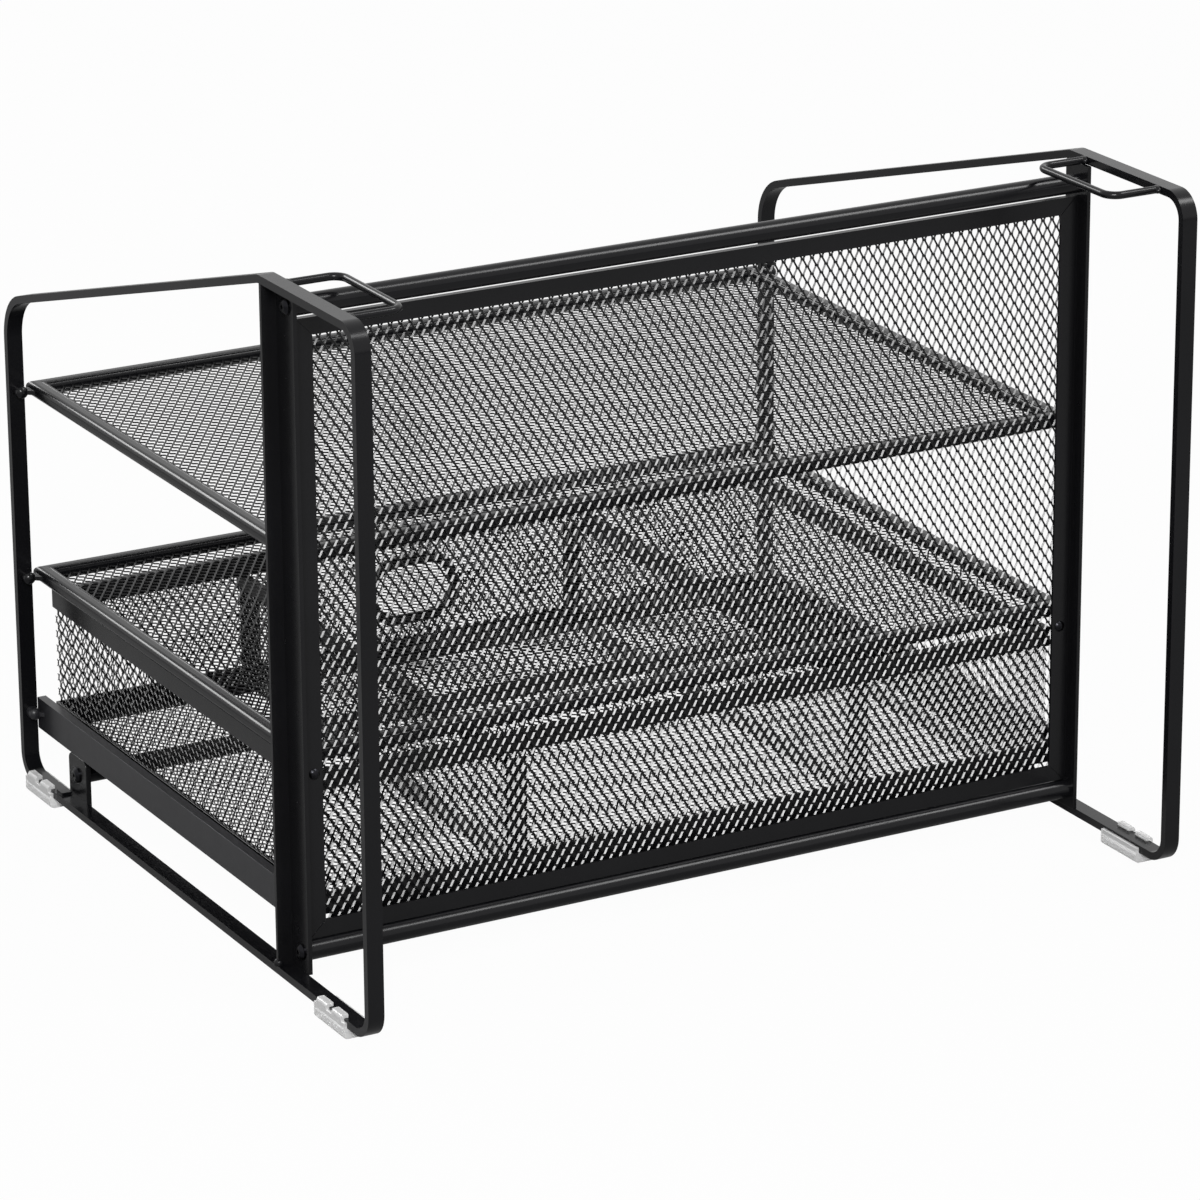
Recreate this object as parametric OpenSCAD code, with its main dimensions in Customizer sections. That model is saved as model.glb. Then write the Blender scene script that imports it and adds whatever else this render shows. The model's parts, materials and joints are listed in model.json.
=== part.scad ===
// Desk sorter with two letter trays, a sliding drawer and a rear bay, in black expanded metal and flat bar.
// Front (tray mouths and drawer pull) is -Y, rear is +Y, +Z is up and the floor is z = 0.

/* [Side loops] */
// Outside width over the two side loops
loop_w = 330; // [280:1:400]
// Outside depth of a side loop, front bar to rear bar
loop_d = 294; // [270:1:340]
// Height of a side loop over its level top
loop_h = 253; // [235:1:290]
// Height at which the sloping top meets the front bar
front_h = 188.9; // [185:0.1:215]
// Width of the flat bar, across the sorter
bar_w = 6.1; // [5.5:0.1:8]
// Thickness of the flat bar
bar_t = 2.9; // [2.2:0.1:3.4]
// Outer bend radius of the flat bar
bend_r = 10; // [8:0.5:16]
// Outer bend radius where the sloping top meets the front bar
nose_r = 20; // [8:0.5:24]

/* [Posts and cross tubes] */
// Clear depth of the rear bay, panel to the back of the loops
rear_gap = 63; // [50:1:80]
// Depth of a post, front to back
post_w = 14.4; // [13.5:0.1:24]
// Reach of a post in front of the panel's rear face
post_fwd = 9.6; // [7:0.1:10.5]
// Width of a post's front flange, across the sorter
post_d = 7; // [6.6:0.1:9]
// Thickness of a post's angle
post_t = 1.5; // [1:0.1:1.8]
// Diameter of the three cross tubes
tube_d = 7.2; // [6:0.1:7.8]
// Distance of the rear tubes' axes from the posts' rear edges
tube_set = 5.2; // [4.4:0.1:8]
// Drop of the top cross tube's axis below the loop's top
top_tube_drop = 9.8; // [7.2:0.1:10]
// Height of the rear bottom cross tube's axis
low_tube_z = 14; // [12:0.1:14.2]
// Height of the front cross tube's axis
front_tube_z = 15.5; // [14:0.1:16.5]

/* [Back panel] */
// Height of the panel frame's lower edge
panel_z = 18; // [17.8:0.1:24]
// Drop of the panel frame's upper edge below the loop's top
panel_drop = 14.6; // [14.4:0.1:30]
// Width of the flange round the mesh, at the sides
flange_x = 6.3; // [5:0.1:12]
// Width of the flange round the mesh, top and bottom
flange_z = 6.3; // [5:0.1:10]
// Setback of the flange's side edges from the posts
flange_set = 1.6; // [0.5:0.1:3]
// Depth of the folded panel frame
panel_t = 2.4; // [2.2:0.1:3]
// Sheet thickness of the folded frames
sheet_t = 1; // [0.8:0.1:1.2]

/* [Expanded metal] */
// Short pitch of the diamond openings
mesh_s = 16.4; // [14:0.2:24]
// Long pitch of the diamond openings
mesh_l = 24.6; // [20:0.2:36]
// Width of a strand
strand = 2; // [1.4:0.1:3]
// Thickness of the sheets
mesh_t = 1; // [0.8:0.1:1.2]
// Plain margin of a sheet, held by its frame
margin = 2.5; // [2:0.5:5]

/* [Trays] */
// Height of the lower tray's rail top
low_tray_z = 86.9; // [85:0.1:100]
// Height of the upper tray's rail top
up_tray_z = 159.9; // [140:0.1:170]
// Width of the tray rail
rail_w = 6.2; // [5:0.1:8]
// Height of the tray rail
rail_h = 5.5; // [4.6:0.1:6.5]
// Corner radius of the tray rail
rail_r = 2.3; // [1:0.1:2.3]
// Diameter of the bead along the rail's inner top edge
bead_d = 1.2; // [1:0.1:1.6]
// Setback of the tray's front rail behind the loop's front face
tray_set = 1; // [0:0.1:2]

/* [Runners] */
// Height of the runner's lower edge
runner_z = 22.8; // [21.5:0.1:24]
// Height of the runner
runner_h = 12.3; // [10:0.1:16]
// Width of the ledge that carries the drawer
ledge_w = 12; // [9:0.5:16]
// Width of the lip along the runner's top
runner_lip = 3.5; // [2:0.1:4.5]
// Width of the tab that holds the front tube
tab_w = 16; // [12:0.5:20]
// Thickness of that tab
tab_t = 2; // [1.5:0.1:3]
// Distance from the front foot back to that tab
tab_back = 1.5; // [1:0.5:20]

/* [Drawer] */
// Width of the skirts that stand out beside the drawer's walls
skirt_w = 5.3; // [4.5:0.1:8]
// Gap between the drawer's rim and the lower tray
rim_gap = 3.7; // [2:0.1:15]
// Height of the rim band
rim_h = 7.5; // [6:0.1:10]
// Height of the band round the drawer's base
base_h = 8; // [6:0.1:12]
// Width of the plain border of the drawer's floor
floor_rim = 8; // [6:0.5:14]
// Drop of the drawer's rear edge between the ledges
rear_drop = 1.6; // [0.8:0.1:2.4]
// Distance of the two dividers from the middle
divider_x = 75; // [45:1:100]
// Width of the dividers' end and foot flanges
divider_flange = 8; // [6:0.5:12]
// Height of a divider's hem
hem_h = 5; // [4:0.5:8]
// Width over the finger ring
ring_w = 40; // [34:0.5:60]
// Height over the finger ring
ring_h = 28; // [24:0.5:30]
// Width of the ring's metal
ring_band = 4; // [3:0.1:5]
// Height of the ring's middle above the drawer's base
ring_up = 27.5; // [25:0.1:29]

/* [Hardware] */
// Diameter of the screw shanks
screw_d = 3; // [2.5:0.1:3.4]
// Diameter of the heads of the post and tab screws
head_d = 6; // [5:0.1:7]
// Height of the heads of the post and tab screws
head_h = 1.6; // [1.2:0.1:2.4]
// Diameter of the low heads of the front screws
front_head_d = 4.4; // [4:0.1:4.6]
// Height of the low heads of the front screws
front_head_h = 0.8; // [0.6:0.1:1.4]
// Distance of the front screws' axes from the bars' inner faces
screw_in = 2.4; // [2.2:0.1:3]
// Wall of the threaded bosses round the screw
boss_wall = 0.8; // [0.6:0.1:1.2]
// Length of the threaded bosses
boss_l = 5; // [4.5:0.5:12]
// Diameter of the rivet heads
rivet_d = 4; // [3:0.1:5]
// Diameter of the U-shaped wires
wire_d = 2.8; // [2.2:0.1:2.9]
// Reach of the U-shaped wires over the rear bay
wire_reach = 20; // [12:0.5:40]
// Width of the U-shaped wires, middle to middle
wire_w = 46.5; // [30:0.5:48]

/* [Feet] */
// Height of the feet under the bars
foot_h = 4; // [3:0.1:6]
// Length of a foot along the bar
foot_l = 23; // [20:0.5:26]
// Wall of a foot
foot_t = 1.4; // [1:0.1:2]
// Distance of the front feet's middles from the loop's front face
foot_front = 18; // [17:0.5:40]
// Distance of the rear feet's middles from the loop's rear face
foot_rear = 28; // [24:0.5:30]

/* [Fits] */
// Clearance of a screw in its hole, on the radius
screw_clear = 0.05; // [0.05:0.01:0.15]
// Gap between the drawer and the ledges that carry it
run_gap = 0.3; // [0.2:0.05:0.5]
// Side gap between the drawer's skirt and the runners
side_gap = 0.8; // [0.5:0.1:1.2]
// Gap between the trays and the panel
tray_gap = 0.3; // [0.2:0.05:0.5]
// Gap between the drawer's back and the panel
back_gap = 1.6; // [1:0.1:5]
// Setback of the drawer's face behind the loop's front face
drawer_set = 3.5; // [3:0.1:8]

/* [Hidden] */
$fn = 64;

hw = loop_w / 2;                       // outer face of a loop
hin = hw - bar_w;                      // inner face of a loop
front_x = hin + screw_in;              // axes of the front screws
yf = -loop_d / 2 + front_head_h / 2;   // front face of the loops
yr = yf + loop_d;                      // rear face of the loops
z0 = foot_h;                           // underside of the loops
zt = z0 + loop_h;                      // level top of the loops
yp = yr - rear_gap;                    // rear face of the panel
post_y0 = yp - post_fwd;
post_y1 = post_y0 + post_w;
post_xo = hw - 0.5;
post_xi = post_xo - post_d;            // inner face of the posts
tube_y = post_y1 - tube_set;
flange_xo = post_xi - flange_set;      // outer edge of the panel's flange
panel_y0 = yp - panel_t;
mesh_y = yp - sheet_t - mesh_t;        // front face of the panel's mesh
panel_h = zt - panel_drop - panel_z;
top_tube_z = zt - top_tube_drop;
tray_y0 = yf + tray_set;
tray_y1 = panel_y0 - tray_gap;
run_xo = hin - 0.1;                    // outer face of the runner's web
run_t = 1.2;
run_xi = run_xo - run_t;
run_y0 = yf + bar_t;
boss_z = runner_z + 6.9;               // runner boss
dz0 = runner_z + run_t + run_gap;      // underside of the drawer
dz1 = low_tray_z - rail_h - rim_gap;   // top of the drawer's rim
drawer_h = dz1 - dz0;
skirt_x = run_xi - side_gap;           // outer edge of the drawer's skirt
dw = skirt_x - skirt_w;                // outer face of the drawer's walls
dy0 = yf + drawer_set;
dy1 = panel_y0 - back_gap;
st = 1.2;                              // strip thickness of the drawer's bands
wall_x = dw - st - mesh_t;             // inner face of the side meshes
wall_y0 = dy0 + st + mesh_t;
wall_y1 = dy1 - st - mesh_t;
floor_z = dz0 + st + mesh_t;           // top of the floor mesh
ring_z = dz0 + ring_up;
tab_x = hin - tab_t;
ftube_y = yf + foot_front + foot_l / 2 + tab_back + tab_w / 2;
hole_r = screw_d / 2 + screw_clear;
boss_d = screw_d + 2 * boss_wall;
slope_v = [[yf, z0], [yr, z0], [yr, zt], [post_y0, zt], [yf, z0 + front_h]];
slope_r = [bend_r, bend_r, bend_r, bend_r, nose_r];

// Maps a flat (y, z) drawing to the side of the sorter, from x = x0 and w thick.
module side(x0, w) translate([x0, 0, 0]) rotate([90, 0, 90]) linear_extrude(w) children();

// Maps a flat (x, z) drawing to the front of the sorter, from y = y0 and t thick.
module front(y0, t) translate([0, y0 + t, 0]) rotate([90, 0, 0]) linear_extrude(t) children();

module both() {
    children();
    mirror([1, 0, 0]) children();
}

// A screw that points along +Y, its head hd wide and hh high with its inner face at y = 0.
module screw(len, hd = head_d, hh = head_h) {
    translate([0, -hh, 0]) rotate([-90, 0, 0]) difference() {
        intersection() {
            cylinder(h = hh, d = hd);
            translate([0, 0, hd * 0.62]) sphere(d = hd * 1.24 + 0.6);
        }
        translate([0, 0, -1]) cylinder(h = 1 + hh * 0.5, d = screw_d * 0.6, $fn = 6);
    }
    rotate([-90, 0, 0]) cylinder(h = len, d = screw_d);
}

// Expanded metal: a w by h sheet in the flat plane, its middle at the origin, cut by diamonds in offset rows.
// s is the pitch along x and l the pitch along y; a diamond that meets the margin or the keep-out is left out.
module expanded(w, h, s, l, kx = 0, ky = 0, kz = 0) {
    nx = floor((w - 2 * margin - s + strand) / s * 2) + 1;
    ny = floor((h - 2 * margin - l + strand) / l * 2) + 1;
    dx = s - strand * sqrt(s * s + l * l) / l;
    dy = l - strand * sqrt(s * s + l * l) / s;
    difference() {
        square([w, h], center = true);
        for (i = [0 : nx - 1], j = [0 : ny - 1]) {
            x = (i - (nx - 1) / 2) * s / 2;
            y = (j - (ny - 1) / 2) * l / 2;
            near = kx > 0 && abs(x) < kx / 2 + dx / 2 && abs(y - kz) < ky / 2 + dy / 2;
            if ((i + j) % 2 == 0 && !near)
                translate([x, y]) polygon([[-dx / 2, 0], [0, -dy / 2], [dx / 2, 0], [0, dy / 2]]);
        }
    }
}

// Flat stadium outline, w by h.
module stadium(w, h) {
    square([w - h, h], center = true);
    translate([-(w - h) / 2, 0]) circle(d = h);
    translate([(w - h) / 2, 0]) circle(d = h);
}

function unit(v) = v / norm(v);
function turn(p, i) = let(n = len(p), a = unit(p[i] - p[(i + n - 1) % n]), b = unit(p[(i + 1) % n] - p[i]))
    atan2(a[0] * b[1] - a[1] * b[0], a * b);

// Points of the bend of radius r at corner i of the closed outline p, with n steps.
function bend(p, i, r, n) = let(m = len(p), b = unit(p[(i + 1) % m] - p[i]), q = turn(p, i), s = r * tan(q / 2),
    c = p[i] + b * s + [-b[1], b[0]] * r, e = atan2(b[1], b[0]) - 90)
    [for (k = [0 : n]) c + r * [cos(e - q + q * k / n), sin(e - q + q * k / n)]];
function inset(p, t) = [for (i = [0 : len(p) - 1]) let(m = len(p), a = unit(p[i] - p[(i + m - 1) % m]),
    b = unit(p[(i + 1) % m] - p[i]), h = t * tan(turn(p, i) / 2)) p[i] - a * h + [-a[1], a[0]] * t];
function rounded(p, r, n) = [for (i = [0 : len(p) - 1]) each bend(p, i, r[i], n)];

// Flat bar, t thick, bent round the closed outline p with the outer radii r: a flat drawing.
module hoop(p, r, t, n = 14) difference() {
    polygon(rounded(p, r, n));
    polygon(rounded(inset(p, t), [for (q = r) q - t], n));
}

module side_loop() difference() {
    union() {
        side(hin, bar_w) hoop(slope_v, slope_r, bar_t);
        // locating pad on the bottom bar, behind the front foot
        translate([hin + 1, yf + foot_front + foot_l / 2 + 1, z0 + bar_t - 0.2]) cube([bar_w - 2, 5, 1.2]);
    }
    for (z = [boss_z, low_tray_z - rail_h / 2, up_tray_z - rail_h / 2])
        translate([front_x, yf - 1, z]) rotate([-90, 0, 0]) cylinder(h = bar_t + 2, r = hole_r);
}
module left_side_loop() color("#1c1c1e") side_loop();
module right_side_loop() color("#1c1c1e") mirror([1, 0, 0]) side_loop();

// Angle that stands between the loop's top and bottom bars: a flange in front and a web beside the panel.
module post() difference() {
    translate([0, 0, z0 + bar_t]) linear_extrude(loop_h - 2 * bar_t) difference() {
        translate([post_xi, post_y0]) square([post_d, post_w]);
        translate([post_xi + post_t, post_y0 + post_t]) square([post_d, post_w]);
    }
    for (z = [low_tube_z, top_tube_z])
        translate([post_xi - 1, tube_y, z]) rotate([0, 90, 0]) cylinder(h = post_t + 2, r = hole_r);
}
module left_post() color("#222226") post();
module right_post() color("#222226") mirror([1, 0, 0]) post();

// U-shaped wire, level with the middle of the top bar and welded to its inner edge.
module wire_u() {
    r = 5;
    yc = (post_y0 + yr) / 2 - 2.95;
    translate([hin, yc, zt - bar_t / 2]) {
        both_y() {
            translate([0, wire_w / 2, 0]) rotate([0, -90, 0]) cylinder(h = wire_reach - r, d = wire_d);
            translate([-wire_reach + r, wire_w / 2 - r, 0]) rotate(90) rotate_extrude(angle = 90)
                translate([r, 0]) circle(d = wire_d, $fn = 32);
        }
        translate([-wire_reach, -wire_w / 2 + r, 0]) rotate([-90, 0, 0]) cylinder(h = wire_w - 2 * r, d = wire_d);
    }
}
module both_y() {
    children();
    mirror([0, 1, 0]) children();
}
module left_wire() color("#2a2a2e") wire_u();
module right_wire() color("#2a2a2e") mirror([1, 0, 0]) wire_u();

module tube(y, z, half) translate([-half, y, z]) rotate([0, 90, 0]) difference() {
    cylinder(h = 2 * half, d = tube_d);
    translate([0, 0, -1]) cylinder(h = 2 * half + 2, r = hole_r);
}
module top_tube() color("#2c2c30") tube(tube_y, top_tube_z, post_xi);
module rear_tube() color("#2c2c30") tube(tube_y, low_tube_z, post_xi);
module front_tube() color("#2c2c30") tube(ftube_y, front_tube_z, tab_x);

// Upright tab on the bottom bar that takes the end of the front tube.
module tab() side(tab_x, tab_t) difference() {
    union() {
        translate([ftube_y - tab_w / 2, z0]) square([tab_w, runner_z - z0 - 3]);
        translate([ftube_y - tab_w / 2 + 3, z0]) square([tab_w - 6, runner_z - z0]);
        for (s = [-1, 1]) translate([ftube_y + s * (tab_w / 2 - 3), runner_z - 3]) circle(r = 3);
    }
    translate([ftube_y, front_tube_z]) circle(r = hole_r);
}
module left_tab() color("#242428") tab();
module right_tab() color("#242428") mirror([1, 0, 0]) tab();

// Folded frame with mitred corners: a flange towards the rear and a return round its outer edge.
module panel_frame() color("#26262a") {
    zc = panel_z + panel_h / 2;
    ml = norm([flange_x, flange_z]);
    difference() {
        union() {
            front(yp - sheet_t, sheet_t) translate([0, zc]) difference() {
                square([2 * flange_xo, panel_h], center = true);
                square([2 * (flange_xo - flange_x), panel_h - 2 * flange_z], center = true);
            }
            front(panel_y0, panel_t - sheet_t) translate([0, zc]) difference() {
                square([2 * post_xi, panel_h], center = true);
                square([2 * (flange_xo - sheet_t), panel_h - 2 * sheet_t], center = true);
            }
        }
        // open mitre lines at the four corners
        for (sx = [0, 1], sz = [0, 1]) mirror([sx, 0, 0]) translate([0, 0, zc]) mirror([0, 0, sz])
            translate([flange_xo - flange_x, yp - 0.3, panel_h / 2 - flange_z])
                rotate([0, -atan2(flange_z, flange_x), 0]) translate([-1, 0, -0.15]) cube([ml + 2, 1, 0.3]);
        both() for (z = [low_tray_z - rail_h - 2.5]) translate([flange_xo - flange_x / 2, yp - sheet_t - 1, z])
            rotate([-90, 0, 0]) cylinder(h = sheet_t + 2, r = rivet_d / 4 + screw_clear);
    }
}
module panel_mesh() color("#3a3a40") front(mesh_y, mesh_t) translate([0, panel_z + panel_h / 2])
    expanded(2 * (flange_xo - sheet_t), panel_h - 2 * sheet_t, mesh_s, mesh_l);
module panel_rivets() color("#4a4a50") both() {
    translate([flange_xo - flange_x / 2, yp, low_tray_z - rail_h - 2.5]) rotate([-90, 0, 0]) {
        intersection() {
            cylinder(h = 1.2, d = rivet_d);
            translate([0, 0, -rivet_d * 0.36]) sphere(d = rivet_d * 1.3);
        }
        translate([0, 0, -sheet_t]) cylinder(h = sheet_t, r = rivet_d / 4);
    }
}

// Rounded section of a tray rail, its outer face at x = 0 and its top at y = 0, the sorter's inside at -x.
module rail_section() {
    translate([-rail_w + rail_r, -rail_h]) square([rail_w - 2 * rail_r, rail_h]);
    translate([-rail_w, -rail_h + rail_r]) square([rail_w, rail_h - 2 * rail_r]);
    for (x = [-rail_w + rail_r, -rail_r], y = [-rail_h + rail_r, -rail_r]) translate([x, y]) circle(r = rail_r);
    translate([-rail_w + bead_d * 0.9, -bead_d / 2]) circle(d = bead_d);
}

// A length of rail along +y with both ends mitred at 45 degrees.
module rail(len) difference() {
    translate([0, len / 2, 0]) rotate([90, 0, 0]) linear_extrude(len) rail_section();
    both_y() translate([0, len / 2, -rail_h - 1]) rotate(45) translate([-40, 0, 0]) cube([80, 20, rail_h + 2]);
}

// Tray: four mitred rails, with a lug, gusset and threaded boss at each front corner.
module tray_frame(z) {
    dt = tray_y1 - tray_y0;
    yc = (tray_y0 + tray_y1) / 2;
    translate([0, yc, z]) {
        for (a = [0, 180]) rotate(a) translate([post_xi, 0, 0]) rail(dt);
        for (a = [90, 270]) rotate(a) translate([dt / 2, 0, 0]) rail(2 * post_xi);
    }
    both() corner_lug(post_xi, z - rail_h / 2);
}

// Gusset and boss behind the front bar, reaching out from x = x0 at height z.
module corner_lug(x0, z) difference() {
    yb = yf + bar_t;
    union() {
        translate([0, 0, z - 0.8]) linear_extrude(1.6)
            polygon([[x0 - 0.5, yb + 0.4], [front_x, yb + 0.4], [front_x, yb + boss_l * 0.6], [x0 - 0.5, yb + boss_l + 2]]);
        translate([front_x, yb, z]) rotate([-90, 0, 0]) {
            cylinder(h = boss_l - 1.5, d = boss_d);
            intersection() {
                cylinder(h = boss_l, d = boss_d);
                translate([0, 0, boss_l - boss_d * 0.6]) sphere(d = boss_d * 1.2);
            }
        }
    }
    translate([front_x, yb - 1, z]) rotate([-90, 0, 0]) cylinder(h = boss_l - 1, r = hole_r);
}
module lower_tray_frame() color("#202024") tray_frame(low_tray_z);
module upper_tray_frame() color("#202024") tray_frame(up_tray_z);

module tray_mesh(z) translate([0, (tray_y0 + tray_y1) / 2, z - rail_h / 2 - mesh_t / 2]) linear_extrude(mesh_t)
    expanded(2 * (post_xi - rail_w), tray_y1 - tray_y0 - 2 * rail_w, mesh_s, mesh_l);
module lower_tray_mesh() color("#3c3c42") tray_mesh(low_tray_z);
module upper_tray_mesh() color("#3c3c42") tray_mesh(up_tray_z);

// C-shaped runner: ledge, web and top lip, with a boss at the front bar and a rib along its top.
module runner() {
    front_l = post_y0 - run_y0;
    translate([0, run_y0 + front_l, 0]) rotate([90, 0, 0]) linear_extrude(front_l) {
        translate([run_xo - ledge_w, runner_z]) square([ledge_w, run_t]);
        translate([run_xi, runner_z]) square([run_t, runner_h]);
        translate([run_xo - runner_lip, runner_z + runner_h - run_t]) square([runner_lip, run_t]);
    }
    corner_lug(run_xo, boss_z);
}
module left_runner() color("#34343a") runner();
module right_runner() color("#34343a") mirror([1, 0, 0]) runner();

// Closed band round the drawer: outer half sizes hx by (dy0..dy1), t thick, from z for h.
module band(z, h, t, inset = 0) translate([0, (dy0 + dy1) / 2, z]) linear_extrude(h) difference() {
    square([2 * (dw - inset), dy1 - dy0 - 2 * inset], center = true);
    square([2 * (dw - inset - t), dy1 - dy0 - 2 * (inset + t)], center = true);
}

// Rim folded over the top edge of the mesh walls.
module drawer_rim() color("#2e2e33") {
    band(dz1 - rim_h, rim_h, st);
    band(dz1 - st, st, 2 * st + mesh_t);
    band(dz1 - rim_h, rim_h, st, st + mesh_t);
}

// Base of the drawer: band, floor border and the side skirts that ride on the ledges.
module drawer_base() color("#2a2a2f") {
    band(dz0, base_h, st);
    band(dz0, st, floor_rim + st);
    both() translate([dw - st, dy0 + 12, dz0]) cube([skirt_x - dw + st, dy1 - dy0 - 24, st]);
    // rear edge, folded down between the ledges
    front(dy1 - st, st) translate([0, dz0 - rear_drop / 2 + 0.25])
        square([2 * (run_xo - ledge_w - 1), rear_drop + 0.5], center = true);
}

wall_h = drawer_h - st - st;           // mesh walls, from the base border to the rim's fold
wall_zc = dz0 + st + wall_h / 2;
front_w = 2 * (dw - st);
side_l = dy1 - dy0 - 2 * (st + mesh_t);
module drawer_front_mesh() color("#3e3e44") difference() {
    front(dy0 + st, mesh_t) translate([0, wall_zc])
        expanded(front_w, wall_h, mesh_s, mesh_l, ring_w, ring_h, ring_z - wall_zc);
    front(dy0, st + mesh_t + 1) translate([0, ring_z]) stadium(ring_w, ring_h);
}
module drawer_rear_mesh() color("#3e3e44") front(dy1 - st - mesh_t, mesh_t) translate([0, wall_zc])
    expanded(front_w, wall_h, mesh_s, mesh_l);
module side_mesh() side(dw - st - mesh_t, mesh_t) translate([(dy0 + dy1) / 2, wall_zc])
    expanded(side_l, wall_h, mesh_s, mesh_l);
module drawer_left_mesh() color("#3e3e44") side_mesh();
module drawer_right_mesh() color("#3e3e44") mirror([1, 0, 0]) side_mesh();
module drawer_floor_mesh() color("#3e3e44") translate([0, (dy0 + dy1) / 2, dz0 + st]) linear_extrude(mesh_t)
    expanded(2 * wall_x, side_l, mesh_s, mesh_l);

// Finger ring: a rounded stadium bezel set into the front mesh.
module finger_ring() color("#46464c") {
    yc = dy0 + st + mesh_t / 2;
    translate([0, yc, ring_z]) rotate([90, 0, 0]) {
        r = ring_h / 2 - ring_band / 2;
        l = ring_w - ring_h;
        for (a = [0, 180]) rotate(a) {
            translate([l / 2, 0, 0]) rotate(-90) rotate_extrude(angle = 180) translate([r, 0]) ring_section();
            translate([-l / 2, r, 0]) rotate([90, 0, 90]) linear_extrude(l) ring_section();
        }
    }
}
module ring_section() {
    square([ring_band, 1.8], center = true);
    square([ring_band - 1.6, 3.2], center = true);
}

// Divider: mesh wall with a folded hem on top and flanges at its foot and ends.
div_top = dz1 - rim_h + 2;
div_y0 = wall_y0;
div_y1 = wall_y1;
module divider_frame() {
    x = divider_x;
    xi = x - mesh_t / 2;
    translate([x - mesh_t / 2 - st, div_y0 + 2, div_top - hem_h]) cube([st, div_y1 - div_y0 - 4, hem_h]);
    translate([x + mesh_t / 2, div_y0 + 2, div_top - hem_h]) cube([st, div_y1 - div_y0 - 4, hem_h]);
    translate([x - mesh_t / 2 - st, div_y0 + 2, div_top - st]) cube([2 * st + mesh_t, div_y1 - div_y0 - 4, st]);
    translate([xi - divider_flange, div_y0, floor_z]) cube([divider_flange, div_y1 - div_y0, st]);
    for (y = [div_y0, div_y1 - st]) translate([xi - divider_flange, y, floor_z])
        cube([divider_flange, st, div_top - floor_z - hem_h]);
    translate([xi - st, div_y0, div_top - hem_h - 3]) cube([st, div_y1 - div_y0, 3.5]);
}
module divider_mesh() side(divider_x - mesh_t / 2, mesh_t)
    translate([(div_y0 + div_y1) / 2, (floor_z + div_top - st) / 2])
        expanded(div_y1 - div_y0, div_top - st - floor_z, mesh_s, mesh_l);
module left_divider_frame() color("#2e2e33") divider_frame();
module left_divider_mesh() color("#3e3e44") divider_mesh();
module right_divider_frame() color("#2e2e33") mirror([1, 0, 0]) divider_frame();
module right_divider_mesh() color("#3e3e44") mirror([1, 0, 0]) divider_mesh();

// Screws through the front bars, the posts and the tabs, as groups of alike pieces.
module front_screws() color("#55555c") both()
    for (z = [boss_z, low_tray_z - rail_h / 2, up_tray_z - rail_h / 2]) translate([front_x, yf, z])
        screw(bar_t + boss_l - 3, front_head_d, front_head_h);
module post_screws() color("#55555c") both()
    for (z = [low_tube_z, top_tube_z]) translate([post_xi + post_t, tube_y, z]) rotate(90) screw(12);
module tab_screws() color("#55555c") both() translate([hin, ftube_y, front_tube_z]) rotate(90) screw(12);

// Clear clip-on foot: a pad under the bar with side walls and two snap tabs over the bar's outer edge.
module foot(y) {
    xo = hw + foot_t;
    xi = hin - foot_t;
    translate([0, y + foot_l / 2, 0]) rotate([90, 0, 0]) linear_extrude(foot_l) {
        translate([xi + 1.5, 0]) square([xo - xi - 3, 3]);
        translate([xi, 1.5]) square([xo - xi, foot_h + bar_t * 0.7 - 1.5]);
        for (x = [xi + 1.5, xo - 1.5]) translate([x, 1.5]) circle(r = 1.5);
    }
    for (s = [-1, 1]) translate([0, y + s * foot_l / 4 + foot_l * 0.16, 0]) rotate([90, 0, 0])
        linear_extrude(foot_l * 0.32) {
            translate([hw, foot_h - 0.1]) square([foot_t, bar_t + 0.1]);
            translate([hw - 1.6, foot_h + bar_t]) square([1.6 + foot_t / 2, foot_t]);
            translate([hw, foot_h + bar_t]) circle(r = foot_t);
        }
}
module front_left_foot() color("#e8eef0") foot_cut() foot(yf + foot_front);
module rear_left_foot() color("#e8eef0") foot_cut() foot(yr - foot_rear);
module front_right_foot() color("#e8eef0") mirror([1, 0, 0]) foot_cut() foot(yf + foot_front);
module rear_right_foot() color("#e8eef0") mirror([1, 0, 0]) foot_cut() foot(yr - foot_rear);

// Keeps the bar's own section out of a foot.
module foot_cut() difference() {
    children();
    side(hin, bar_w) hoop(slope_v, slope_r, bar_t);
}

left_side_loop();
right_side_loop();
left_post();
right_post();
left_wire();
right_wire();
top_tube();
rear_tube();
front_tube();
left_tab();
right_tab();
panel_frame();
panel_mesh();
panel_rivets();
lower_tray_frame();
lower_tray_mesh();
upper_tray_frame();
upper_tray_mesh();
left_runner();
right_runner();
drawer_rim();
drawer_base();
drawer_front_mesh();
drawer_rear_mesh();
drawer_left_mesh();
drawer_right_mesh();
drawer_floor_mesh();
finger_ring();
left_divider_frame();
left_divider_mesh();
right_divider_frame();
right_divider_mesh();
front_screws();
post_screws();
tab_screws();
front_left_foot();
rear_left_foot();
front_right_foot();
rear_right_foot();
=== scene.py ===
"""Dresses the desk sorter: powder-coated bar and sheet steel, true-pitch expanded metal and clear feet."""

import json
import logging
import math
from dataclasses import dataclass, field
from enum import Enum
from typing import Any

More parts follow.
